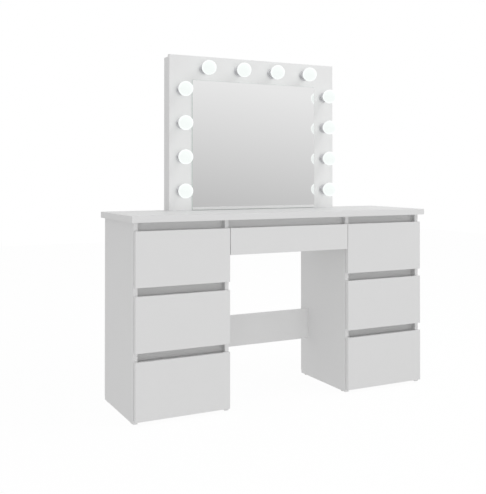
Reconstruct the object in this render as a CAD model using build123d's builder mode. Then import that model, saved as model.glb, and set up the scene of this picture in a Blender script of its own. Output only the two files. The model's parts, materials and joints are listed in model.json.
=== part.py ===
from build123d import *
import os

# Dressing table with a lamp-lit mirror: two drawer pedestals, a centre drawer and a box mirror.
# Millimetres. X runs to the right seen from the front, Y to the rear, Z up. The origin is on the
# floor under the middle of the desktop. The drawers are shut.

os.makedirs("parts", exist_ok=True)

# Driving dimensions: boards and desktop
board = 16  # melamine-faced chipboard
thin_board = 12  # drawer sides and backs
hdf = 3  # hardboard backs and drawer bottoms
desktop_width = 1324
desktop_depth = 382
desktop_thickness = 24
side_overhang = 14  # desktop past the outer side panels
front_overhang = 8  # desktop past the drawer fronts
rear_overhang = 10  # desktop past the pedestal backs
edge_radius = 1.0  # eased edge band

# Driving dimensions: pedestals
pedestal_width = 380
front_floor_gap = 14  # floor to the lowest drawer fronts
lowest_front_height = 213
upper_front_height = 203
centre_front_height = 102
slot_height = 31  # finger slot over each front
front_reveal = 2  # front to the pedestal's outer faces
front_gap = 2  # back of a front to the edges of the side panels
centre_front_gap = 2.5  # centre front to the pedestal fronts
bottom_panel_rise = 2  # bottom panel above the lower edge of the lowest front
rail_setback = 25  # recessed rail behind the edges of the side panels
rail_above_slot = 8
rail_below_slot = 12
glide_radius = 7
glide_height = 3
glide_inset = 30  # glide centre from a side panel's end
spike_radius = 1
spike_length = 10
stretcher_floor_gap = 170
stretcher_height = 130
stretcher_setback = 42  # rear face of the stretcher to the rear of the pedestals

# Driving dimensions: drawer boxes and runners
box_depth = 300
box_clearance = 10  # box above the rail or bottom panel beneath it
centre_box_rise = 9  # centre box above the lower edge of its front
grip_depth = 35  # top of a front to the top of its box
runner_space = 12.7  # one runner, box side to cabinet side
runner_length = 300
runner_height = 35
runner_setback = 3  # runner behind the cabinet's front edge
runner_steel = 1.2
member_play = 2.5  # ball row between the two members of a runner
member_stagger = 2.5  # drawer member's offset from the cabinet member, across the runner
groove_depth = 5
groove_rise = 9  # lower edge of the box to its bottom board
dowel_radius = 4
dowel_in_front = 10
dowel_in_side = 20
glue_line = 0.05  # keeps glued pieces of one group apart
screw_radius = 1.75
screw_length = 10
screw_head_radius = 3.5
screw_head_height = 1.5
screw_hole_play = 0.3
screw_inset = 40  # runner screw from the end of its member

# Driving dimensions: cam fittings
cam_radius = 7.5
cam_height = 12.5
cam_distance = 24  # cam centre from the board's edge
bolt_radius = 3.5
bolt_bite = 7.5  # bolt into the facing board
cam_inset = 45  # fitting from a board's end
rail_cam_gap = 4  # rear face of a recessed rail to the cam centres behind it

# Driving dimensions: mirror
mirror_width = 796
mirror_height = 640
mirror_depth = 72  # face board to the rear of the box
glass_thickness = 4
glass_side_border = 101
glass_top_border = 100
glass_bottom_border = 2
box_inset = 6  # mirror box inside the edge of the face board
back_inset = 3  # mirror back inside the rear edges of the box
side_lamp_edge = 51  # side lamps from the ends of the face board
top_lamp_edge = 52  # top lamps from its upper edge
side_lamp_rise = 82  # lowest lamp above the desktop
side_lamp_pitch = 138
top_lamp_pitch = 162
lamps_per_row = 4
bulb_radius = 30
bulb_standoff = 53  # bulb centre in front of the face board
cap_radius = 13.5
neck_radius = 15
holder_radius = 17
holder_height = 20
holder_floor = 4
holder_play = 0.5  # bulb cap inside its holder
flange_radius = 22
flange_height = 3
spigot_radius = 12
spigot_tail = 4  # spigot behind the face board
wire_radius = 2.5
wire_setback = 10  # loom centre behind the face board
wire_bend = 60
driver_width = 70
driver_depth = 30
driver_height = 25
driver_side_gap = 6
driver_front_gap = 1
driver_corner = 2
inlet_radius = 5.5
inlet_flange_radius = 8
inlet_flange = 2
inlet_nut = 3
inlet_length = 15
socket_radius = 2.75
socket_depth = 10
pin_radius = 0.9
mirror_screw_radius = 2.25
mirror_screw_head_radius = 4.5
mirror_screw_head = 2.5
mirror_screw_bite = 12
mirror_screw_inset = 80  # outer screws from the ends of the mirror box
mirror_screw_spacing = 220  # inner pair

# Levels and places that follow from them
z_levels = [front_floor_gap]
for height in (
    lowest_front_height, slot_height, upper_front_height,
    slot_height, upper_front_height, slot_height,
):
    z_levels.append(z_levels[-1] + height)
front_spans = [(z_levels[i], z_levels[i + 1]) for i in (0, 2, 4)]
slot_spans = [(z_levels[i], z_levels[i + 1]) for i in (1, 3, 5)]
z_under = z_levels[-1]
z_top = z_under + desktop_thickness
z_bottom_panel = front_floor_gap + bottom_panel_rise

y_desk_front = -desktop_depth / 2
y_desk_rear = desktop_depth / 2
y_face = y_desk_front + front_overhang
y_front_back = y_face + board
y_panel_front = y_front_back + front_gap
y_back_rear = y_desk_rear - rear_overhang
y_panel_rear = y_back_rear - hdf
y_rail = y_panel_front + rail_setback

x_outer = desktop_width / 2 - side_overhang
x_inner = x_outer - pedestal_width

y_mirror = y_desk_rear - mirror_depth
z_mirror_top = z_top + mirror_height
lamp_places = [
    (side * (mirror_width / 2 - side_lamp_edge), y_mirror,
     z_top + side_lamp_rise + i * side_lamp_pitch)
    for side in (-1, 1)
    for i in range(lamps_per_row)
] + [
    ((i - (lamps_per_row - 1) / 2) * top_lamp_pitch, y_mirror, z_mirror_top - top_lamp_edge)
    for i in range(lamps_per_row)
]


def save(piece, label):
    """Labels a finished piece and writes it as one STEP file."""
    piece.part.label = label
    export_step(piece.part, f"parts/{label}.step")


def fill(x, y, z, mode=Mode.ADD):
    """Fills the box between the two ends given for each axis, in the part being built."""
    with BuildSketch(Plane.XY.offset(z[0])) as plan:
        with Locations(((x[0] + x[1]) / 2, (y[0] + y[1]) / 2)):
            Rectangle(x[1] - x[0], y[1] - y[0])
    extrude(plan.sketch, amount=z[1] - z[0], mode=mode)


def bore(mouth, inward, radius, depth, mode=Mode.SUBTRACT):
    """Bores a round hole from its mouth, or with Mode.ADD grows the pin that fits it."""
    with BuildSketch(Plane(mouth, z_dir=inward)) as opening:
        Circle(radius)
    extrude(opening.sketch, amount=depth, mode=mode)


def along(point, direction, distance):
    """The point reached from a point along a direction."""
    return tuple(p + d * distance for p, d in zip(point, direction))


def ends(start, length):
    """The two ends of a stretch."""
    return (start, start + length)


def mirrored(span, side):
    """A span on the right-hand side, or its mirror image on the left for side -1."""
    return tuple(sorted((side * span[0], side * span[1])))


# Cam fittings. Each is (edge, inward, opens): the middle of the joint on the board's edge, the way
# into that board, and the way its cam faces.
def cam_bores(fitting):
    """Bores a board for the bolt and the cam of a fitting."""
    edge, inward, opens = fitting
    bore(edge, inward, bolt_radius, cam_distance)
    mouth = along(along(edge, inward, cam_distance), opens, board / 2)
    bore(mouth, along((0, 0, 0), opens, -1), cam_radius, cam_height)


def bolt_bores(fittings):
    """Bores the facing board for the bolts of its fittings."""
    for edge, inward, _ in fittings:
        bore(edge, along((0, 0, 0), inward, -1), bolt_radius, bolt_bite)


def end_fittings(x, y_places, z_places, opens):
    """Fittings at both ends of a board that spans x, at each place across it."""
    return [
        ((x[end], y, z), (inward, 0, 0), opens)
        for end, inward in ((0, 1), (1, -1))
        for y in y_places
        for z in z_places
    ]


down, rearward = (0, 0, -1), (0, 1, 0)
y_rail_middle = y_rail + board / 2
y_fitting_places = (y_rail + board + rail_cam_gap, y_panel_rear - cam_inset)
y_stretcher_rear = y_back_rear - stretcher_setback
stretcher_z = ends(stretcher_floor_gap, stretcher_height)


def rail_span(slot):
    """Height span of the recessed rail behind a slot; the top one stops at the desktop."""
    return (slot[0] - rail_below_slot, min(slot[1] + rail_above_slot, z_under))


rail_spans = [rail_span(slot) for slot in slot_spans]
fittings = {}
for name, side in (("left", -1), ("right", 1)):
    inside = mirrored((x_inner + board, x_outer - board), side)
    fittings[f"{name}_bottom"] = end_fittings(
        inside, y_fitting_places, [z_bottom_panel + board / 2], down)
    fittings[f"{name}_rails"] = [
        fitting
        for span in rail_spans
        for fitting in end_fittings(inside, [y_rail_middle], [sum(span) / 2], rearward)
    ]
    for place, x_panel, opens in (
        ("outer", x_outer - board / 2, (-side, 0, 0)),
        ("inner", x_inner + board / 2, (side, 0, 0)),
    ):
        fittings[f"{name}_{place}_top"] = [
            ((side * x_panel, y, z_under), down, opens) for y in y_fitting_places
        ]
kneehole_x = (-x_inner, x_inner)
fittings["centre_rail"] = end_fittings(
    kneehole_x, [y_rail_middle], [sum(rail_spans[2]) / 2], rearward)
fittings["stretcher"] = end_fittings(
    kneehole_x, [y_stretcher_rear - board / 2],
    [stretcher_z[0] + cam_inset / 2, stretcher_z[1] - cam_inset / 2], rearward)

# Desktop
mirror_screw_x = (mirror_width / 2 - box_inset - mirror_screw_inset, mirror_screw_spacing / 2)
y_mirror_screw = (y_mirror + board + y_desk_rear) / 2
mirror_screw_places = [
    (side * x, y_mirror_screw, z_under) for side in (-1, 1) for x in mirror_screw_x
]
with BuildPart() as desktop:
    fill((-desktop_width / 2, desktop_width / 2), (y_desk_front, y_desk_rear), (z_under, z_top))
    fillet(desktop.faces().sort_by(Axis.Z)[-1].edges(), edge_radius)
    for place in mirror_screw_places:
        bore(place, (0, 0, 1), mirror_screw_head_radius, mirror_screw_head)
        bore(place, (0, 0, 1), mirror_screw_radius, desktop_thickness)
    for key in ("left_outer", "left_inner", "right_inner", "right_outer"):
        bolt_bores(fittings[f"{key}_top"])
save(desktop, "desktop")

# Runner cross-section heights, shared by the cabinet and drawer members
member_half = runner_height / 2 - runner_steel - member_play
runner_y = ends(y_panel_front + runner_setback, runner_length)
screw_y = (runner_y[0] + screw_inset, runner_y[1] - screw_inset)


levels = ("bottom", "middle", "top")
box_floors = [z_bottom_panel + board] + [span[1] for span in rail_spans[:2]]
drawers = {}
for name, side in (("left", -1), ("right", 1)):
    for level, front, box_floor in zip(levels, front_spans, box_floors):
        drawers[f"{name}_{level}"] = {
            "front_x": mirrored((x_inner + front_reveal, x_outer - front_reveal), side),
            "front_z": front,
            "clear_x": mirrored((x_inner + board, x_outer - board), side),
            "box_z": (box_floor + box_clearance, front[1] - grip_depth),
        }
x_centre_front = x_inner + front_reveal - centre_front_gap
centre_front = (z_levels[5] - centre_front_height, z_levels[5])
drawers["centre"] = {
    "front_x": (-x_centre_front, x_centre_front),
    "front_z": centre_front,
    "clear_x": kneehole_x,
    "box_z": (centre_front[0] + centre_box_rise, centre_front[1] - grip_depth),
}


def runner_z(drawer):
    """Middle height of a drawer's runners."""
    return sum(drawer["box_z"]) / 2


def runner_walls(drawer):
    """Each runner as (cabinet face x, way into the clear width, height)."""
    left, right = drawer["clear_x"]
    return [(left, 1, runner_z(drawer)), (right, -1, runner_z(drawer))]


def cabinet_screw_bores(x_face, names):
    """Pilot holes for the runner screws of the named drawers, in the panel with this face."""
    for name in names:
        for x_wall, inward, z in runner_walls(drawers[name]):
            if x_wall == x_face:
                for y in screw_y:
                    bore((x_wall, y, z), (-inward, 0, 0), screw_radius, screw_length)


# Side panels on glides
def glide_places(side, x_panel):
    """Centres of a side panel's two glides."""
    return [
        (side * x_panel, y, glide_height)
        for y in (y_panel_front + glide_inset, y_panel_rear - glide_inset)
    ]


for name, side in (("left", -1), ("right", 1)):
    own = [f"{name}_{level}" for level in levels]
    for place, x_low in (("outer", x_outer - board), ("inner", x_inner)):
        span = mirrored((x_low, x_low + board), side)
        with BuildPart() as side_panel:
            fill(span, (y_panel_front, y_panel_rear), (glide_height, z_under))
            for fitting in fittings[f"{name}_{place}_top"]:
                cam_bores(fitting)
            joined = fittings[f"{name}_bottom"] + fittings[f"{name}_rails"]
            if place == "inner":
                joined = joined + fittings["centre_rail"] + fittings["stretcher"]
            bolt_bores([fitting for fitting in joined if fitting[0][0] in span])
            for x_face in span:
                cabinet_screw_bores(x_face, own + ["centre"])
            for glide in glide_places(side, x_low + board / 2):
                bore(glide, (0, 0, 1), spike_radius, spike_length)
        save(side_panel, f"side_panel_{name}_{place}")

with BuildPart() as glides:
    for side in (-1, 1):
        for x_panel in (x_outer - board / 2, x_inner + board / 2):
            for glide in glide_places(side, x_panel):
                bore(glide, down, glide_radius, glide_height, Mode.ADD)
                bore(glide, (0, 0, 1), spike_radius, spike_length, Mode.ADD)
save(glides, "floor_glides")

# Bottom panels, hardboard backs and recessed rails of the pedestals
for name, side in (("left", -1), ("right", 1)):
    inside = mirrored((x_inner + board, x_outer - board), side)
    with BuildPart() as bottom_panel:
        fill(inside, (y_panel_front, y_panel_rear), ends(z_bottom_panel, board))
        for fitting in fittings[f"{name}_bottom"]:
            cam_bores(fitting)
    save(bottom_panel, f"bottom_panel_{name}")

    with BuildPart() as back_panel:
        fill(mirrored((x_inner, x_outer), side), (y_panel_rear, y_back_rear),
             (z_bottom_panel, z_under))
    save(back_panel, f"back_panel_{name}")

    with BuildPart() as rails:
        for span in rail_spans:
            fill(inside, ends(y_rail, board), span)
        for fitting in fittings[f"{name}_rails"]:
            cam_bores(fitting)
    save(rails, f"recess_rails_{name}")

with BuildPart() as centre_rail:
    fill(kneehole_x, ends(y_rail, board), rail_spans[2])
    for fitting in fittings["centre_rail"]:
        cam_bores(fitting)
save(centre_rail, "recess_rail_centre")

with BuildPart() as stretcher:
    fill(kneehole_x, (y_stretcher_rear - board, y_stretcher_rear), stretcher_z)
    for fitting in fittings["stretcher"]:
        cam_bores(fitting)
save(stretcher, "stretcher")

# Cams and their bolts. A bolt ends at the rim of its cam.
all_fittings = [fitting for group in fittings.values() for fitting in group]
with BuildPart() as cams:
    for edge, inward, opens in all_fittings:
        mouth = along(along(edge, inward, cam_distance), opens, board / 2)
        bore(mouth, along((0, 0, 0), opens, -1), cam_radius, cam_height, Mode.ADD)
save(cams, "cam_locks")

bolt_length = bolt_bite + cam_distance - cam_radius
with BuildPart() as bolts:
    for edge, inward, _ in all_fittings:
        bore(along(edge, inward, -bolt_bite), inward, bolt_radius, bolt_length, Mode.ADD)
save(bolts, "cam_bolts")


# Runners: two channels, one inside the other, with room for the balls between them
def cabinet_member(wall, inward, z):
    """The outer channel of a runner, open towards the drawer, with its two screws."""
    web = mirrored((wall * inward, wall * inward + runner_steel), inward)
    depth = mirrored((wall * inward, wall * inward + runner_space - member_stagger), inward)
    half = runner_height / 2
    fill(web, runner_y, (z - half, z + half))
    for low in (z - half, z + half - runner_steel):
        fill(depth, runner_y, ends(low, runner_steel))
    for y in screw_y:
        bore((wall, y, z), (inward, 0, 0), screw_radius + screw_hole_play, runner_steel)
        add_screw((wall, y, z), inward)


def drawer_member(wall, inward, z):
    """The inner channel of a runner, open towards the cabinet, with its two screws."""
    side = wall * inward + runner_space
    web = mirrored((side - runner_steel, side), inward)
    depth = mirrored((wall * inward + member_stagger, side), inward)
    fill(web, runner_y, (z - member_half, z + member_half))
    for low in (z - member_half, z + member_half - runner_steel):
        fill(depth, runner_y, ends(low, runner_steel))
    for y in screw_y:
        face = (side * inward, y, z)
        bore(face, (-inward, 0, 0), screw_radius + screw_hole_play, runner_steel)
        add_screw(face, -inward)


def add_screw(seat, away):
    """A pan-head screw through a channel's web; away points from the board to the head."""
    head = along(seat, (away, 0, 0), runner_steel + glue_line)
    bore(head, (away, 0, 0), screw_head_radius, screw_head_height, Mode.ADD)
    bore(head, (-away, 0, 0), screw_radius, runner_steel + glue_line + screw_length, Mode.ADD)


for group, names in (
    ("left", [f"left_{level}" for level in levels]),
    ("right", [f"right_{level}" for level in levels]),
    ("centre", ["centre"]),
):
    with BuildPart() as cabinet_runners:
        for name in names:
            for wall, inward, z in runner_walls(drawers[name]):
                cabinet_member(wall, inward, z)
    save(cabinet_runners, f"cabinet_runners_{group}")

# Drawers: front, box of two sides and a back, hardboard bottom and runner members
for name, drawer in drawers.items():
    front_x, front_z, box_z = drawer["front_x"], drawer["front_z"], drawer["box_z"]
    box_x = (drawer["clear_x"][0] + runner_space, drawer["clear_x"][1] - runner_space)
    inner_x = (box_x[0] + thin_board, box_x[1] - thin_board)
    box_y = ends(y_front_back, box_depth)
    inner_y = (box_y[0], box_y[1] - thin_board)
    bottom_x = (inner_x[0] - groove_depth, inner_x[1] + groove_depth)
    bottom_y = (inner_y[0] - groove_depth, inner_y[1] + groove_depth)
    bottom_z = ends(box_z[0] + groove_rise, hdf)
    side_middle = (box_x[0] + thin_board / 2, box_x[1] - thin_board / 2)
    quarter = (box_z[1] - box_z[0]) / 4
    dowel_places = [
        (x, y_front_back, z)
        for x in side_middle
        for z in (box_z[0] + quarter + hdf, box_z[1] - quarter)
    ]

    with BuildPart() as drawer_front:
        fill(front_x, (y_face, y_front_back), front_z)
        fillet(drawer_front.faces().sort_by(Axis.Y)[0].edges(), edge_radius)
        fill(bottom_x, (bottom_y[0], y_front_back), bottom_z, Mode.SUBTRACT)
        for place in dowel_places:
            bore(place, (0, -1, 0), dowel_radius, dowel_in_front)
    save(drawer_front, f"drawer_{name}_front")

    with BuildPart() as drawer_box:
        for wall_x in ((box_x[0], inner_x[0]), (inner_x[1], box_x[1])):
            fill(wall_x, box_y, box_z)
        fill((inner_x[0] + glue_line, inner_x[1] - glue_line), (inner_y[1], box_y[1]), box_z)
        fill(bottom_x, bottom_y, bottom_z, Mode.SUBTRACT)
        for x, way in ((box_x[0], 1), (box_x[1], -1)):
            for y in screw_y:
                bore((x, y, runner_z(drawer)), (way, 0, 0), screw_radius, screw_length)
        for place in dowel_places:
            bore(place, (0, 1, 0), dowel_radius + glue_line, dowel_in_side + glue_line)
            dowel_start = along(place, (0, -1, 0), dowel_in_front)
            bore(dowel_start, (0, 1, 0), dowel_radius, dowel_in_front + dowel_in_side, Mode.ADD)
    save(drawer_box, f"drawer_{name}_box")

    with BuildPart() as drawer_bottom:
        fill(bottom_x, bottom_y, bottom_z)
    save(drawer_bottom, f"drawer_{name}_bottom")

    with BuildPart() as drawer_runners:
        for wall, inward, z in runner_walls(drawer):
            drawer_member(wall, inward, z)
    save(drawer_runners, f"drawer_{name}_runners")

# Mirror: face board with holes for the lamp holders, glass, box, back
x_mirror = mirror_width / 2
with BuildPart() as face_board:
    fill((-x_mirror, x_mirror), ends(y_mirror, board), (z_top, z_mirror_top))
    fillet(face_board.faces().sort_by(Axis.Y)[0].edges(), edge_radius)
    for place in lamp_places:
        bore(place, (0, 1, 0), spigot_radius, board)
save(face_board, "mirror_face_board")

x_glass = x_mirror - glass_side_border
with BuildPart() as mirror_glass:
    fill((-x_glass, x_glass), (y_mirror - glass_thickness, y_mirror),
         (z_top + glass_bottom_border, z_mirror_top - glass_top_border))
    chamfer(mirror_glass.faces().sort_by(Axis.Y)[0].edges(), edge_radius)
save(mirror_glass, "mirror_glass")

x_box = x_mirror - box_inset
x_box_inner = x_box - board
z_box_top = z_mirror_top - box_inset
box_y = (y_mirror + board, y_desk_rear)
back_y = (y_desk_rear - back_inset - hdf, y_desk_rear - back_inset)
inlet_place = (
    x_box_inner - driver_side_gap - driver_width / 2, back_y[1], z_top + board + driver_height / 2)
with BuildPart() as mirror_box:
    for z in (z_top, z_box_top - board):
        fill((-x_box, x_box), box_y, ends(z, board))
    for side in (-1, 1):
        fill(mirrored((x_box_inner, x_box), side), box_y,
             (z_top + board + glue_line, z_box_top - board - glue_line))
    for place in mirror_screw_places:
        bore((place[0], place[1], z_top), (0, 0, 1), mirror_screw_radius, mirror_screw_bite)
save(mirror_box, "mirror_box")

with BuildPart() as mirror_back:
    fill((-x_box_inner, x_box_inner), back_y, (z_top + board, z_box_top - board))
    bore(inlet_place, (0, -1, 0), inlet_radius, hdf)
save(mirror_back, "mirror_back")

screw_reach = desktop_thickness + mirror_screw_bite
with BuildPart() as mirror_screws:
    for place in mirror_screw_places:
        bore(place, (0, 0, 1), mirror_screw_head_radius, mirror_screw_head, Mode.ADD)
        bore(place, (0, 0, 1), mirror_screw_radius, screw_reach, Mode.ADD)
save(mirror_screws, "mirror_screws")

# Lamps. One holder and one bulb are turned about the vertical and laid forwards, then repeated.
with BuildPart() as holder:
    bore((0, 0, 0), (0, -1, 0), flange_radius, flange_height, Mode.ADD)
    bore((0, 0, 0), (0, -1, 0), holder_radius, holder_height, Mode.ADD)
    bore((0, 0, 0), (0, 1, 0), spigot_radius, board + spigot_tail, Mode.ADD)
    bore((0, -holder_height, 0), (0, 1, 0), cap_radius + holder_play, holder_height - holder_floor)
with BuildPart() as lamp_holders:
    with Locations(*lamp_places):
        add(holder.part)
save(lamp_holders, "lamp_holders")

globe_start = bulb_standoff - (bulb_radius**2 - neck_radius**2) ** 0.5
with BuildPart() as bulb:
    with BuildSketch(Plane.XY) as bulb_half:
        with BuildLine():
            Polyline(
                (0, -holder_floor), (cap_radius, -holder_floor),
                (cap_radius, -holder_height), (neck_radius, -globe_start),
            )
            ThreePointArc(
                (neck_radius, -globe_start), (bulb_radius, -bulb_standoff),
                (0, -bulb_standoff - bulb_radius),
            )
            Line((0, -bulb_standoff - bulb_radius), (0, -holder_floor))
        make_face()
    revolve(axis=Axis.Y)
with BuildPart() as bulbs:
    with Locations(*lamp_places):
        add(bulb.part)
save(bulbs, "bulbs")

# Supply: inlet in the mirror's back, driver on the floor of the box, loom behind the holders
x_column = x_mirror - side_lamp_edge
y_loom = y_mirror + board + wire_setback
z_driver = z_top + board + driver_height
driver_y = ends(y_mirror + board + driver_front_gap, driver_depth)
with BuildPart() as lamp_driver:
    fill((inlet_place[0] - driver_width / 2, inlet_place[0] + driver_width / 2), driver_y,
         (z_top + board, z_driver))
    fillet(lamp_driver.edges().filter_by(Axis.Z), driver_corner)
save(lamp_driver, "lamp_driver")

with BuildPart() as wiring:
    with BuildLine() as loom_route:
        FilletPolyline(
            (-x_column, y_loom, z_top + side_lamp_rise),
            (-x_column, y_loom, z_mirror_top - top_lamp_edge),
            (x_column, y_loom, z_mirror_top - top_lamp_edge),
            (x_column, y_loom, z_driver),
            radius=wire_bend,
        )
    with BuildSketch(Plane(loom_route.line @ 0, z_dir=loom_route.line % 0)):
        Circle(wire_radius)
    sweep(path=loom_route.line)
    lead_start = (inlet_place[0], driver_y[1], inlet_place[2])
    lead_length = inlet_place[1] - inlet_length - driver_y[1]
    bore(lead_start, (0, 1, 0), wire_radius, lead_length, Mode.ADD)
save(wiring, "lamp_wiring")

with BuildPart() as inlet:
    bore(inlet_place, (0, 1, 0), inlet_flange_radius, inlet_flange, Mode.ADD)
    bore(inlet_place, (0, -1, 0), inlet_radius, inlet_length, Mode.ADD)
    bore(along(inlet_place, (0, -1, 0), hdf), (0, -1, 0), inlet_flange_radius, inlet_nut, Mode.ADD)
    socket_mouth = along(inlet_place, (0, 1, 0), inlet_flange)
    bore(socket_mouth, (0, -1, 0), socket_radius, socket_depth)
    pin_root = along(socket_mouth, (0, -1, 0), socket_depth)
    bore(pin_root, (0, 1, 0), pin_radius, socket_depth, Mode.ADD)
save(inlet, "power_inlet")
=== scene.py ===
"""Looks of a dressing table with a lamp-lit mirror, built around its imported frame.

Lengths are metres. X runs to the right seen from the front, Y to the rear and Z up from the floor.
"""

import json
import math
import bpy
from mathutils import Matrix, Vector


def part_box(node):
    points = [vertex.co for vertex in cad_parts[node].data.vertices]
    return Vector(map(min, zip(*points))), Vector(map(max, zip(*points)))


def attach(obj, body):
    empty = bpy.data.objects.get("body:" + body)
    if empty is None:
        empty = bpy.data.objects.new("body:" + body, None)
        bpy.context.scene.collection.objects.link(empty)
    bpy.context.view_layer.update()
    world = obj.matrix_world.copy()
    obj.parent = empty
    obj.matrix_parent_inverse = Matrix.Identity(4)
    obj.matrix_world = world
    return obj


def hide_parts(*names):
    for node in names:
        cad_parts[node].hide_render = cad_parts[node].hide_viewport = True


bl_info = {
    "name": "Dressing table looks",
    "version": (1, 0, 0),
    "blender": (4, 5, 0),
    "location": "View3D > Sidebar > Dressing table",
    "description": "Finishes, lamps, fixings and studio of a dressing table with a lit mirror",
    "category": "Object",
}

import bmesh
import bpy
import numpy as np

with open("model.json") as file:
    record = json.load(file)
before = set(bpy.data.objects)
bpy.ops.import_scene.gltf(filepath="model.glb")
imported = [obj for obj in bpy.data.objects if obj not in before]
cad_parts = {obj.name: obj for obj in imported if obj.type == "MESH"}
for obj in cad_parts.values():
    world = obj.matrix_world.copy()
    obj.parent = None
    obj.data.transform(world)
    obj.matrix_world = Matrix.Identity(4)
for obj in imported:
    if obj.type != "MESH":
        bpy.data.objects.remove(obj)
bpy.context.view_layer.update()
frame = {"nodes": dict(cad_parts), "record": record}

DESK = "desk"
BOARD = 0.016  # thickness of the boards
SMOOTH_ANGLE = math.radians(35)
MERGE_DISTANCE = 1e-6


# Colours


def linear(hex_colour):
    """Linear red, green and blue of an sRGB hex colour: each channel is taken back through the
    sRGB curve, a straight line near black and a power above it."""
    channels = [int(hex_colour[i:i + 2], 16) / 255 for i in (1, 3, 5)]
    return tuple(c / 12.92 if c <= 0.04045 else ((c + 0.055) / 1.055) ** 2.4 for c in channels)


def colour(name, description, hex_colour):
    """A colour property with this sRGB default."""
    return bpy.props.FloatVectorProperty(
        name=name, description=description, subtype="COLOR", size=3, min=0, max=1,
        default=linear(hex_colour))


def length(name, description, default):
    """A length property in metres."""
    return bpy.props.FloatProperty(
        name=name, description=description, default=default, min=0, unit="LENGTH", precision=4)


def factor(name, description, default, top=1.0):
    """A plain number property from 0 to a top value."""
    return bpy.props.FloatProperty(
        name=name, description=description, default=default, min=0, max=top)


# Nodes and materials


def add_node(tree, kind, inputs=None, **settings):
    """Adds a node. Settings are its properties; inputs are values, or sockets to link from."""
    made = tree.nodes.new(kind)
    for name, value in settings.items():
        setattr(made, name, value)
    for name, value in (inputs or {}).items():
        if isinstance(value, bpy.types.NodeSocket):
            tree.links.new(value, made.inputs[name])
        else:
            made.inputs[name].default_value = value
    return made


def new_material(name, inputs):
    """A material of one principled shader with these inputs. Returns the material, its tree and
    the shader."""
    made = bpy.data.materials.new(name)
    made.use_nodes = True
    tree = made.node_tree
    tree.nodes.clear()
    shader = add_node(tree, "ShaderNodeBsdfPrincipled", inputs)
    add_node(tree, "ShaderNodeOutputMaterial", {"Surface": shader.outputs["BSDF"]})
    return made, tree, shader


def opaque(rgb):
    """A colour with full alpha."""
    return (*rgb[:3], 1.0)


def object_noise(tree, size, detail=2.0, stretch=(1, 1, 1)):
    """Noise on Object coordinates. Its features are about this size in metres, times stretch
    along each axis."""
    place = add_node(tree, "ShaderNodeTexCoord")
    mapping = add_node(tree, "ShaderNodeMapping", {
        "Vector": place.outputs["Object"], "Scale": tuple(1 / s for s in stretch)})
    return add_node(tree, "ShaderNodeTexNoise", {
        "Vector": mapping.outputs["Vector"], "Scale": 1 / size, "Detail": detail})


def finish_node(name, material):
    """Gives a CAD node one material."""
    mesh = frame["nodes"][name].data
    mesh.materials.clear()
    mesh.materials.append(material)


# Meshes


def node_points(name):
    """All the points of a CAD node's mesh, one row each."""
    vertices = frame["nodes"][name].data.vertices
    points = np.empty(len(vertices) * 3)
    vertices.foreach_get("co", points)
    return points.reshape(-1, 3)


def solid_boxes(name, reach):
    """Lowest and highest corners of a node's separate solids. Each solid's points all lie within
    reach of its first."""
    points = node_points(name)
    boxes = []
    while len(points):
        own = np.linalg.norm(points - points[0], axis=1) < reach
        boxes.append((points[own].min(0), points[own].max(0)))
        points = points[~own]
    return boxes


def turned(profile, segments):
    """A closed surface of revolution about -Y: each profile row is (distance along -Y, radius),
    and the point at angle a is (radius cos a, -distance, radius sin a)."""
    angle = np.linspace(0, 2 * np.pi, segments, endpoint=False)
    distance, radius = np.asarray(profile, float).T
    points = np.empty((len(distance), segments, 3))
    points[..., 0] = radius[:, None] * np.cos(angle)
    points[..., 1] = -distance[:, None]
    points[..., 2] = radius[:, None] * np.sin(angle)
    return points, wrapped_quads(*points.shape[:2])


def wrapped_quads(rows, columns):
    """Quads of a grid whose columns close on themselves."""
    row, column = np.meshgrid(np.arange(rows - 1), np.arange(columns), indexing="ij")
    after = (column + 1) % columns
    corners = [row * columns + column, row * columns + after,
               (row + 1) * columns + after, (row + 1) * columns + column]
    return np.stack(corners, -1).reshape(-1, 4)


def repeated(points, quads, places, turns=None):
    """Copies of a grid, one at each place. Where turns are given, each copy is turned first by its
    3 by 3 matrix."""
    flat = points.reshape(-1, 3)
    places = np.asarray(places, float)
    if turns is None:
        turns = np.broadcast_to(np.eye(3), (len(places), 3, 3))
    copies = np.einsum("kij,nj->kni", np.asarray(turns), flat) + places[:, None, :]
    steps = np.arange(len(places))[:, None, None] * len(flat)
    return copies.reshape(-1, 3), (quads[None] + steps).reshape(-1, 4)


def new_piece(name, points, quads, material, body, slot, replaces=()):
    """Makes a smooth-shaded mesh piece with its poles closed and faces outward, and rides it."""
    mesh = bpy.data.meshes.new(name)
    mesh.from_pydata(points.tolist(), [], quads.tolist())
    piece = bpy.data.objects.new(name, mesh)
    bpy.context.scene.collection.objects.link(piece)
    close_and_orient(mesh)
    mesh.materials.append(material)
    mesh.shade_smooth()
    mesh.set_sharp_from_angle(angle=SMOOTH_ANGLE)
    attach(piece, body)
    if replaces:
        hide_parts(*replaces)


def close_and_orient(mesh):
    """Merges the doubled points at poles and turns every face outward."""
    work = bmesh.new()
    work.from_mesh(mesh)
    bmesh.ops.remove_doubles(work, verts=work.verts, dist=MERGE_DISTANCE)
    bmesh.ops.dissolve_degenerate(work, edges=work.edges, dist=MERGE_DISTANCE)
    bmesh.ops.recalc_face_normals(work, faces=work.faces)
    work.to_mesh(mesh)
    work.free()


def arc(middle, radius, start, stop, steps):
    """Profile rows round an arc: its middle plus its radius times the cosine and sine of each
    angle in degrees, counted from the way out."""
    angle = np.radians(np.linspace(start, stop, steps))
    return np.column_stack([
        middle[0] + radius * np.cos(angle), middle[1] + radius * np.sin(angle)])


# Settings


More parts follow.
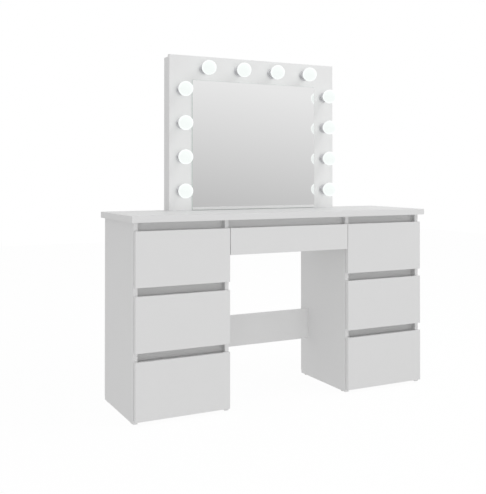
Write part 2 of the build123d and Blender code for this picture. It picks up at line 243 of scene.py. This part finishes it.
class BoardSettings(bpy.types.PropertyGroup):
    """The melamine boards, hardboard and their edge band."""

    melamine: colour("Melamine", "White of the melamine faces", "#eeeeee")
    # Painted light: the same melamine made whiter on the mirror's face board, standing in for the
    # lamps' light on it
    lamplit_white: colour("Mirror board", "White of the mirror's face board", "#f5f5f5")
    band: colour("Edge band", "White of the edge band", "#efefef")
    hardboard: colour("Hardboard", "White lacquer on the hardboard", "#ededeb")
    pearl: length("Pearl size", "Size of the pearl grain drawn on the faces", 0.003)
    pearl_depth: length("Pearl depth", "Depth of that grain", 0.00002)
    sheen: factor("Roughness", "Roughness of the melamine faces", 0.42)


class MirrorSettings(bpy.types.PropertyGroup):
    """The silvered glass."""

    silver: colour("Silver", "Tint of the silvered glass", "#f6f6f6")
    # The edge's pale green is partly the glass's own and partly painted reflection, lightened to
    # stand for the bright room
    edge: colour("Glass edge", "Green of the ground glass edge", "#d5dfda")
    edge_roughness: factor("Edge roughness", "Roughness of the ground edge", 0.25)
    polish: factor("Face roughness", "Roughness of the polished face", 0.012)


class LampSettings(bpy.types.PropertyGroup):
    """The globe lamps and their holders."""

    globe_radius: length("Globe radius", "Radius of an opal globe", 0.03)
    standoff: length("Standoff", "Globe centre in front of the face board", 0.053)
    neck_radius: length("Neck radius", "Radius of the lamp's neck", 0.0135)
    glow: factor("Glow", "Radiance of the lit globes", 0.88, 20.0)
    glow_colour: colour("Glow colour", "Colour of the lamps' light", "#fafffd")
    opal: colour("Opal", "Colour of the opal skin by daylight", "#505251")
    chrome: colour("Chrome", "Colour of the satin chrome holders", "#dcdcde")


class FixingSettings(bpy.types.PropertyGroup):
    """Cams, nails, runners and the supply."""

    zinc: colour("Zinc", "Colour of die-cast zinc", "#a7a8aa")
    steel: colour("Steel", "Colour of zinc-plated steel", "#b4b6b9")
    nail_radius: length("Nail head", "Radius of a hardboard nail's head", 0.0022)
    nail_rise: length("Nail rise", "Height of its dome", 0.0006)
    nail_pitch: length("Nail pitch", "Distance between nails", 0.1)
    plastic: colour("White plastic", "Colour of moulded white plastic", "#d9d9d6")
    black: colour("Black plastic", "Colour of moulded black plastic", "#1c1c1d")


class StudioSettings(bpy.types.PropertyGroup):
    """Floor and light."""

    sky: factor("Sky", "Radiance of the soft light from all round", 0.69, 5.0)
    key_power: factor("Key light", "Power of the light above on the right in watts", 14.0, 5000.0)
    front_power: factor("Front light", "Power of the low light in front in watts", 24.0, 5000.0)
    floor: colour("Floor", "Colour of the floor", "#fafafa")
    floor_glow: factor("Floor glow", "Share of the floor's white that shadows don't reach", 0.92)
    floor_bounce: factor(
        "Floor bounce", "Radiance of the light that the floor sends up", 0.60, 5.0)
    low_glass: factor(
        "Low reflection", "Radiance that glossy surfaces see at the horizon", 0.41, 2.0)
    high_glass: factor("High reflection", "Radiance that they see above it", 0.87, 2.0)


SETTINGS = {
    "dressing_boards": BoardSettings,
    "dressing_mirror": MirrorSettings,
    "dressing_lamps": LampSettings,
    "dressing_fixings": FixingSettings,
    "dressing_studio": StudioSettings,
}


def settings(name):
    """The scene's settings group of this name."""
    return getattr(bpy.context.scene, name)


# Boards

AXES = ("x", "y", "z")


def melamine_material(name, axis, side, white, look):
    """White melamine-faced chipboard, pressed: a satin white face with a fine pearl grain. Its
    edges are an ironed-on band, a little smoother than the face. The faces are those whose
    normal's share of the axis lies on the named side of a half."""
    cloud_size, cloud_low = 0.09, 0.985  # cloudiness of the decor paper, barely there
    sheen_swing = 0.06  # change of roughness either way over the pearl grain
    band_share = 0.8  # roughness of the band as a share of the face's
    made, tree, shader = new_material(name, {"IOR": 1.5})
    place = add_node(tree, "ShaderNodeTexCoord")
    parts = add_node(tree, "ShaderNodeSeparateXYZ", {"Vector": place.outputs["Normal"]})
    across = add_node(
        tree, "ShaderNodeMath", {0: parts.outputs[axis.upper()]}, operation="ABSOLUTE")
    # 1 on the faces, 0 on the band round the edges
    face = add_node(tree, "ShaderNodeMath", {0: across.outputs[0], 1: 0.5}, operation=side)
    cloud = object_noise(tree, cloud_size)
    shade = add_node(tree, "ShaderNodeMapRange", {
        "Value": cloud.outputs["Fac"], "To Min": cloud_low, "To Max": 1.0})
    base = add_node(tree, "ShaderNodeMix", {
        "Factor": face.outputs[0], "A": opaque(look.band), "B": opaque(white)},
        data_type="RGBA")
    tinted = add_node(tree, "ShaderNodeVectorMath", {
        0: base.outputs["Result"], "Scale": shade.outputs["Result"]}, operation="SCALE")
    tree.links.new(tinted.outputs["Vector"], shader.inputs["Base Color"])
    # Pearl grain: 0.5 mm on the real board, drawn larger so that it shows
    pearl = object_noise(tree, look.pearl, detail=3.0)
    rough = add_node(tree, "ShaderNodeMapRange", {
        "Value": pearl.outputs["Fac"],
        "To Min": look.sheen - sheen_swing, "To Max": look.sheen + sheen_swing})
    band_rough = add_node(tree, "ShaderNodeMix", {
        "Factor": face.outputs[0], "A": look.sheen * band_share, "B": rough.outputs["Result"]})
    tree.links.new(band_rough.outputs["Result"], shader.inputs["Roughness"])
    bump = add_node(tree, "ShaderNodeBump", {
        "Height": pearl.outputs["Fac"], "Distance": look.pearl_depth, "Strength": 1.0})
    tree.links.new(bump.outputs["Normal"], shader.inputs["Normal"])
    return made


def hardboard_material(look):
    """Hardboard, wet-pressed fibre with a white lacquer: matt, with a faint fibre mottle."""
    fibre_size, fibre_low, fibre_depth = 0.006, 0.95, 0.00006
    made, tree, shader = new_material(
        "white_lacquered_hardboard", {"Roughness": 0.62, "IOR": 1.5})
    fibre = object_noise(tree, fibre_size, detail=5.0)
    shade = add_node(tree, "ShaderNodeMapRange", {
        "Value": fibre.outputs["Fac"], "To Min": fibre_low, "To Max": 1.0})
    tinted = add_node(tree, "ShaderNodeVectorMath", {
        0: tuple(look.hardboard), "Scale": shade.outputs["Result"]}, operation="SCALE")
    tree.links.new(tinted.outputs["Vector"], shader.inputs["Base Color"])
    bump = add_node(tree, "ShaderNodeBump", {
        "Height": fibre.outputs["Fac"], "Distance": fibre_depth, "Strength": 1.0})
    tree.links.new(bump.outputs["Normal"], shader.inputs["Normal"])
    return made


def thinnest_axis(name):
    """The axis across a board, the one in which its box is thinnest."""
    low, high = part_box(name)
    return AXES[int(np.argmin(np.array(high) - np.array(low)))]


class DRESSING_OT_boards(bpy.types.Operator):
    """Finishes every melamine board and hardboard panel"""

    bl_idname = "dressing.boards"
    bl_label = "Boards"

    def execute(self, context):
        look = settings("dressing_boards")
        board = {
            axis: melamine_material(
                f"white_melamine_board_{axis}", axis, "GREATER_THAN", look.melamine, look)
            for axis in AXES
        }
        # The mirror's face board takes a whiter copy of the melamine: painted light of the lamps
        # round the mirror
        mirror_face = melamine_material(
            "lamplit_white_melamine", "y", "GREATER_THAN", look.lamplit_white, look)
        # Boxes have upright boards both ways round, banded along the top and bottom
        box = melamine_material("white_melamine_box", "z", "LESS_THAN", look.melamine, look)
        hardboard = hardboard_material(look)
        for part in frame["record"]["subparts"]:
            name, slot = part["node"], part["material_slot"]
            if slot == "white_hardboard":
                finish_node(name, hardboard)
            elif name == "mirror_face_board":
                finish_node(name, mirror_face)
            elif slot == "white_melamine":
                finish_node(name, box if name.endswith("_box") else board[thinnest_axis(name)])
        return {"FINISHED"}


# Mirror glass


def mirror_material(look):
    """Float glass silvered on its back, polished: a clear sharp reflection. Its edge is ground, a
    dull pale green, made lighter than the glass's own green as a painted reflection of the bright
    room round it."""
    front_normal = -0.95  # the silvered front faces -Y more nearly than this
    made, tree, shader = new_material("silvered_float_glass", {})
    place = add_node(tree, "ShaderNodeTexCoord")
    parts = add_node(tree, "ShaderNodeSeparateXYZ", {"Vector": place.outputs["Normal"]})
    front = add_node(tree, "ShaderNodeMath", {
        0: parts.outputs["Y"], 1: front_normal}, operation="LESS_THAN")
    # The ground edge takes a paler green than the glass's own: partly a painted reflection of the
    # room round it
    tint = add_node(tree, "ShaderNodeMix", {
        "Factor": front.outputs[0], "A": opaque(look.edge), "B": opaque(look.silver)},
        data_type="RGBA")
    tree.links.new(tint.outputs["Result"], shader.inputs["Base Color"])
    dull = add_node(tree, "ShaderNodeMix", {
        "Factor": front.outputs[0], "A": look.edge_roughness, "B": look.polish})
    tree.links.new(dull.outputs["Result"], shader.inputs["Roughness"])
    tree.links.new(front.outputs[0], shader.inputs["Metallic"])
    return made


class DRESSING_OT_mirror(bpy.types.Operator):
    """Finishes the mirror glass"""

    bl_idname = "dressing.mirror"
    bl_label = "Mirror glass"

    def execute(self, context):
        finish_node("mirror_glass", mirror_material(settings("dressing_mirror")))
        return {"FINISHED"}


# Lamps

LAMP_REACH = 0.065  # points of one holder or lamp lie closer together than this
LAMP_SEGMENTS = 48  # faces round a globe or holder


def lamp_places():
    """Points on the face board's front, one under each lamp."""
    y_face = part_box("mirror_face_board")[0].y
    middles = [(low + high) / 2 for low, high in solid_boxes("lamp_holders", LAMP_REACH)]
    return [(x, y_face, z) for x, _, z in middles]


def globe_profile(look):
    """A lamp's outline: its cap and neck, a hollow curve, and the globe to its pole. The hollow
    curve touches the neck's line and the globe, so its middle lies at both distances."""
    hollow, cap_start, cap_end, cap_edge = 0.008, 0.0045, 0.012, 0.001
    bend_steps, globe_steps = 8, 28
    side = look.neck_radius + hollow
    back = math.sqrt((look.globe_radius + hollow) ** 2 - side**2)
    lean = math.degrees(math.atan2(side, -back))
    cap = [(cap_start, 0), (cap_start, look.neck_radius - cap_edge),
           (cap_start + cap_edge, look.neck_radius), (cap_end, look.neck_radius)]
    bend = arc((look.standoff - back, side), hollow, 270, 180 + lean, bend_steps)
    globe = arc((look.standoff, 0), look.globe_radius, lean, 0, globe_steps)
    globe[-1, 1] = 0
    return np.vstack([cap, bend, globe[1:]])


def opal_material(look):
    """Opal polycarbonate, moulded, lit from inside: an even white glow under a glossy skin."""
    wave_size, wave_depth = 0.012, 0.00002
    made, tree, shader = new_material("lit_opal_globe", {
        "Base Color": opaque(look.opal), "Roughness": 0.25, "IOR": 1.58,
        "Emission Color": opaque(look.glow_colour), "Emission Strength": look.glow})
    # A moulded skin is never quite even: it has faint waves
    wave = object_noise(tree, wave_size)
    bump = add_node(tree, "ShaderNodeBump", {
        "Height": wave.outputs["Fac"], "Distance": wave_depth, "Strength": 1.0})
    tree.links.new(bump.outputs["Normal"], shader.inputs["Normal"])
    return made


def chrome_material(look):
    """Satin chrome plate on pressed steel: grey, with fine turning marks round the collar."""
    mark_size, mark_depth = 0.0012, 0.00001
    smoothest, roughest = 0.22, 0.38
    made, tree, shader = new_material("satin_chrome_plate", {
        "Base Color": opaque(look.chrome), "Metallic": 1.0})
    # Narrow along the collar's own axis, so that the marks run round it
    brushed = object_noise(tree, mark_size, stretch=(1, 0.2, 1))
    rough = add_node(tree, "ShaderNodeMapRange", {
        "Value": brushed.outputs["Fac"], "To Min": smoothest, "To Max": roughest})
    tree.links.new(rough.outputs["Result"], shader.inputs["Roughness"])
    bump = add_node(tree, "ShaderNodeBump", {
        "Height": brushed.outputs["Fac"], "Distance": mark_depth, "Strength": 1.0})
    tree.links.new(bump.outputs["Normal"], shader.inputs["Normal"])
    return made


def holder_profile():
    """A lamp holder's outline: the spigot behind the board, a flange with a round edge, a fillet,
    the cup with two rings round it, its rolled mouth, and the well inside."""
    spigot, flange, cup, well = 0.012, 0.022, 0.0168, 0.014  # radii
    tail, floor, mouth = 0.02, 0.0042, 0.02  # distances from the board's front
    chamfer, edge = 0.001, 0.0015
    ring_width, ring_slope, ring_rise = 0.002, 0.0004, 0.0002
    first_ring, second_ring = 0.009, 0.013  # distances of the rings
    round_steps, fillet_steps = 9, 5
    ring = np.array([
        (0, 0), (ring_slope, ring_rise), (ring_width - ring_slope, ring_rise),
        (ring_width, 0)]) + (0, cup)
    lip = (cup - well) / 2
    return np.vstack([
        [(-tail, 0), (-tail, spigot - chamfer), (chamfer - tail, spigot), (0, spigot)],
        arc((edge, flange - edge), edge, 180, 0, round_steps),
        arc((3 * edge, cup + edge), edge, 180, 270, fillet_steps),
        ring + (first_ring, 0), ring + (second_ring, 0),
        arc((mouth - lip, cup - lip), lip, 90, -90, round_steps),
        [(floor, well), (floor, 0)],
    ])


class DRESSING_OT_lamps(bpy.types.Operator):
    """Builds the globe lamps and their holders"""

    bl_idname = "dressing.lamps"
    bl_label = "Lamps"

    def execute(self, context):
        look = settings("dressing_lamps")
        places = lamp_places()
        globe = turned(globe_profile(look), LAMP_SEGMENTS)
        holder = turned(holder_profile(), LAMP_SEGMENTS)
        new_piece("opal_globes", *repeated(*globe, places),
                  opal_material(look), DESK, "opal_lamp", ("bulbs",))
        new_piece("chrome_holders", *repeated(*holder, places),
                  chrome_material(look), DESK, "satin_chrome", ("lamp_holders",))
        return {"FINISHED"}


# Cams, nails, runners, glides and supply

CAM_REACH = 0.0205  # points of one cam lie closer together than this


def cam_grid(radius, height):
    """A cam: a polar grid over its face and down its side. The face lies just inside the board,
    and sinks by the slot's depth where a point is within half a slot's width of either arm of a
    cross and inside the slot's reach, with a wall as steep as the wall's width allows."""
    rings, segments = 12, 64
    face_share = 0.97  # radius of the face as a share of the cam's, which leaves a bevel
    inside, slot_half, slot_wall, slot_depth, slot_reach = 0.0002, 0.0011, 0.0003, 0.0022, 0.8
    share = np.linspace(0, 1, rings)[:, None]
    angle = np.linspace(0, 2 * np.pi, segments, endpoint=False)[None]
    near_arm = np.minimum(np.abs(np.cos(angle)), np.abs(np.sin(angle))) * share * radius
    sunk = np.clip((slot_half - near_arm) / slot_wall + 0.5, 0, 1) * (share < slot_reach)
    side = np.array([(inside, radius), (height, radius), (height, 0)])
    reach = np.vstack([share * radius * face_share, side[:, 1:]])
    depth = np.vstack([inside + slot_depth * sunk, np.repeat(side[:, :1], segments, 1)])
    points = np.stack([reach * np.cos(angle), depth, reach * np.sin(angle)], -1)
    return points, wrapped_quads(*points.shape[:2])


def facing(direction):
    """The rotation that carries -Y to a direction along one of the axes."""
    inward = -np.asarray(direction, float)
    side = np.array([0, 1, 0]) if direction[2] else np.array([0, 0, 1])
    return np.column_stack([np.cross(inward, side), inward, side])


def cam_faces():
    """Each cam's mouth and the way it opens: down under the bottom panels, to the rear behind
    upright boards, and into the pedestal from a side panel."""
    pedestal_middle = abs(sum(corner.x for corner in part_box("bottom_panel_left"))) / 2
    faces = []
    for low, high in solid_boxes("cam_locks", CAM_REACH):
        middle = (low + high) / 2
        axis = int(np.argmin(high - low))
        way = np.zeros(3)
        pedestal = np.sign(middle[0]) * pedestal_middle
        way[axis] = (np.sign(pedestal - middle[0]), 1, -1)[axis]
        mouth = middle + way * (high - low)[axis] / 2
        faces.append((mouth, way, (high - low).max() / 2, (high - low)[axis]))
    return faces


def nail_head(radius, rise):
    """A nail head: a shallow dome on a rim, closed underneath. The dome's height falls as the
    square of the distance from its middle."""
    rim, segments, rings = 0.00005, 12, 5
    share = np.linspace(0, 1, rings)
    dome = np.column_stack([rim + rise * (1 - share**2), radius * share])
    return turned(np.vstack([dome, [(0, radius), (0, 0)]]), segments)


def evenly(low, high, pitch):
    """Places from low to high, about a pitch apart."""
    return np.linspace(low, high, int((high - low) / pitch) + 1)


def nail_places(name, look):
    """Nails up both sides and along the bottom of a hardboard back, over the middle of the boards
    that it covers."""
    low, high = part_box(name)
    inset = BOARD / 2
    across = evenly(low.x + inset, high.x - inset, look.nail_pitch)
    upward = evenly(low.z + inset, high.z - inset, look.nail_pitch)
    sides = [(x, high.y, z) for x in (across[0], across[-1]) for z in upward]
    return sides + [(x, high.y, upward[0]) for x in across[1:-1]]


def zinc_material(name, rgb, roughness):
    """Zinc, die-cast or plated on steel: a soft grey metal with a faint spangle."""
    spangle_size, spangle_low, swing = 0.004, 0.88, 0.08
    made, tree, shader = new_material(name, {"Metallic": 1.0})
    spangle = object_noise(tree, spangle_size)
    shade = add_node(tree, "ShaderNodeMapRange", {
        "Value": spangle.outputs["Fac"], "To Min": spangle_low, "To Max": 1.0})
    tinted = add_node(tree, "ShaderNodeVectorMath", {
        0: tuple(rgb), "Scale": shade.outputs["Result"]}, operation="SCALE")
    tree.links.new(tinted.outputs["Vector"], shader.inputs["Base Color"])
    rough = add_node(tree, "ShaderNodeMapRange", {
        "Value": spangle.outputs["Fac"],
        "To Min": roughness - swing, "To Max": roughness + swing})
    tree.links.new(rough.outputs["Result"], shader.inputs["Roughness"])
    return made


def plastic_material(name, rgb, roughness):
    """Moulded plastic: dull and even, with the fine spark-eroded grain of its mould."""
    grain_size, grain_depth = 0.0015, 0.00003
    made, tree, shader = new_material(name, {
        "Base Color": opaque(rgb), "Roughness": roughness, "IOR": 1.5})
    grain = object_noise(tree, grain_size, detail=3.0)
    bump = add_node(tree, "ShaderNodeBump", {
        "Height": grain.outputs["Fac"], "Distance": grain_depth, "Strength": 1.0})
    tree.links.new(bump.outputs["Normal"], shader.inputs["Normal"])
    return made


class DRESSING_OT_fixings(bpy.types.Operator):
    """Builds the cams and nails, and finishes runners, screws, glides and supply"""

    bl_idname = "dressing.fixings"
    bl_label = "Fixings"

    def execute(self, context):
        look = settings("dressing_fixings")
        cast = zinc_material("die_cast_zinc", look.zinc, 0.45)
        plated = zinc_material("zinc_plated_steel", look.steel, 0.34)
        white = plastic_material("moulded_white_plastic", look.plastic, 0.5)
        black = plastic_material("moulded_black_plastic", look.black, 0.42)
        by_slot = {
            "zinc_steel": plated, "zinc_alloy": cast, "glide_plastic": white,
            "driver_plastic": white, "wire_sheath": white, "inlet_plastic": black,
        }
        for part in frame["record"]["subparts"]:
            if part["material_slot"] in by_slot:
                finish_node(part["node"], by_slot[part["material_slot"]])

        faces = cam_faces()
        grid = cam_grid(faces[0][2], faces[0][3])
        new_piece("cross_slot_cams", *repeated(
            *grid, [mouth for mouth, *_ in faces], [facing(way) for _, way, *_ in faces]),
            cast, DESK, "zinc_alloy", ("cam_locks",))

        heads = nail_head(look.nail_radius, look.nail_rise)
        to_rear = facing((0, 1, 0))
        places = nail_places("back_panel_left", look) + nail_places("back_panel_right", look)
        new_piece("back_panel_nails", *repeated(*heads, places, [to_rear] * len(places)),
                  plated, DESK, "zinc_steel")
        return {"FINISHED"}


# Studio

CAMERA_PLACE = (-1.534, -2.7367, 0.8966)
CAMERA_TURN = math.radians(-26.47)
CAMERA_TILT = math.radians(0.533)
CAMERA_LENS = 54.82  # millimetres on a 36 mm sensor
CAMERA_SHIFT = (0.0222, -0.16)
FLOOR_REACH = 7.0  # from the middle of the floor to its edges
FLOOR_LIFT = 0.06  # how much more than its glow the floor shows the camera
# Each light's width and height, its place, and the point that it shines at
KEY_LIGHT = ((1.5, 1.5), (1.6, -1.0, 3.0), (0.3, 0, 0.9))
FRONT_LIGHT = ((5.0, 1.0), (-1.1, -4.4, 0.6), (0, 0, 0.45))


def floor_material(look):
    """A pale studio floor, matt paint: mostly its own even white, so only the darkest contact
    shadows show on it. It lights the object from below with less than it shows the camera."""
    made, tree, shader = new_material("pale_studio_floor", {
        "Base Color": opaque([c * (1 - look.floor_glow) for c in look.floor]),
        "Roughness": 0.9, "Specular IOR Level": 0.0, "Emission Color": opaque(look.floor)})
    ray = add_node(tree, "ShaderNodeLightPath")
    glow = add_node(tree, "ShaderNodeMapRange", {
        "Value": ray.outputs["Is Camera Ray"],
        "To Min": look.floor_bounce, "To Max": look.floor_glow + FLOOR_LIFT})
    tree.links.new(glow.outputs["Result"], shader.inputs["Emission Strength"])
    return made


def studio_world(look):
    """Even white light from all round. Glossy surfaces see it darken towards the horizon, and it
    is plain white behind the object."""
    rightward, darkest, lightest = 0.18, -0.05, 0.2
    world = bpy.data.worlds.new("soft_white_studio")
    world.use_nodes = True
    tree = world.node_tree
    tree.nodes.clear()
    place = add_node(tree, "ShaderNodeTexCoord")
    way = add_node(tree, "ShaderNodeSeparateXYZ", {"Vector": place.outputs["Generated"]})
    # Sine of the elevation, plus a little of the way to the right
    slope = add_node(tree, "ShaderNodeMath", {
        0: way.outputs["X"], 1: rightward, 2: way.outputs["Z"]}, operation="MULTIPLY_ADD")
    rise = add_node(tree, "ShaderNodeMapRange", {
        "Value": slope.outputs[0], "From Min": darkest, "From Max": lightest,
        "To Min": look.low_glass, "To Max": look.high_glass})
    ray = add_node(tree, "ShaderNodeLightPath")
    seen = add_node(tree, "ShaderNodeMix", {
        "Factor": ray.outputs["Is Glossy Ray"], "A": look.sky, "B": rise.outputs["Result"]})
    plain = add_node(tree, "ShaderNodeMix", {
        "Factor": ray.outputs["Is Camera Ray"], "A": seen.outputs["Result"], "B": 1.0})
    light = add_node(tree, "ShaderNodeBackground", {
        "Color": (1, 1, 1, 1), "Strength": plain.outputs["Result"]})
    add_node(tree, "ShaderNodeOutputWorld", {"Surface": light.outputs["Background"]})
    return world


def aim(thing, target):
    """Turns a light so that it shines at a point."""
    way = np.asarray(target, float) - np.asarray(thing.location)
    thing.rotation_euler = (
        math.atan2(math.hypot(way[0], way[1]), -way[2]), 0, math.atan2(-way[0], way[1]))


class DRESSING_OT_stage(bpy.types.Operator):
    """Lays the floor and sets the light and the camera"""

    bl_idname = "dressing.stage"
    bl_label = "Studio"

    def execute(self, context):
        look = settings("dressing_studio")
        scene = context.scene
        mesh = bpy.data.meshes.new("studio_floor")
        corners = [(x * FLOOR_REACH, y * FLOOR_REACH, 0)
                   for x, y in ((-1, -1), (1, -1), (1, 1), (-1, 1))]
        mesh.from_pydata(corners, [], [(0, 1, 2, 3)])
        mesh.materials.append(floor_material(look))
        floor = bpy.data.objects.new("studio_floor", mesh)
        scene.collection.objects.link(floor)

        scene.world = studio_world(look)
        for name, power, (size, place, target) in (
            ("key_light", look.key_power, KEY_LIGHT),
            ("front_light", look.front_power, FRONT_LIGHT),
        ):
            data = bpy.data.lights.new(name, "AREA")
            data.shape = "RECTANGLE"
            data.size, data.size_y = size
            data.energy = power
            light = bpy.data.objects.new(name, data)
            light.location = place
            aim(light, target)
            light.visible_glossy = False
            scene.collection.objects.link(light)

        camera_data = bpy.data.cameras.new("camera")
        camera_data.lens = CAMERA_LENS
        camera_data.shift_x, camera_data.shift_y = CAMERA_SHIFT
        camera = bpy.data.objects.new("camera", camera_data)
        camera.location = CAMERA_PLACE
        camera.rotation_euler = (math.pi / 2 + CAMERA_TILT, 0, CAMERA_TURN)
        scene.collection.objects.link(camera)
        scene.camera = camera
        scene.view_settings.view_transform = "Standard"
        return {"FINISHED"}


OPERATORS = (
    DRESSING_OT_boards,
    DRESSING_OT_mirror,
    DRESSING_OT_lamps,
    DRESSING_OT_fixings,
    DRESSING_OT_stage,
)


class DRESSING_PT_panel(bpy.types.Panel):
    """Lists the table's operators and settings"""

    bl_label = "Dressing table"
    bl_idname = "DRESSING_PT_panel"
    bl_space_type = "VIEW_3D"
    bl_region_type = "UI"
    bl_category = "Dressing table"

    def draw(self, context):
        for operator in OPERATORS:
            self.layout.operator(operator.bl_idname)
        for name, group in SETTINGS.items():
            box = self.layout.box()
            for key in group.__annotations__:
                box.prop(getattr(context.scene, name), key)


def register():
    """Registers the settings, operators and panel."""
    for name, group in SETTINGS.items():
        bpy.utils.register_class(group)
        setattr(bpy.types.Scene, name, bpy.props.PointerProperty(type=group))
    for cls in (*OPERATORS, DRESSING_PT_panel):
        bpy.utils.register_class(cls)


def unregister():
    """Removes what register added."""
    for cls in (DRESSING_PT_panel, *reversed(OPERATORS)):
        bpy.utils.unregister_class(cls)
    for name, group in SETTINGS.items():
        delattr(bpy.types.Scene, name)
        bpy.utils.unregister_class(group)


def main():
    """Makes every piece."""
    register()
    bpy.ops.dressing.boards()
    bpy.ops.dressing.mirror()
    bpy.ops.dressing.lamps()
    bpy.ops.dressing.fixings()
    bpy.ops.dressing.stage()


if __name__ == "__main__":
    main()
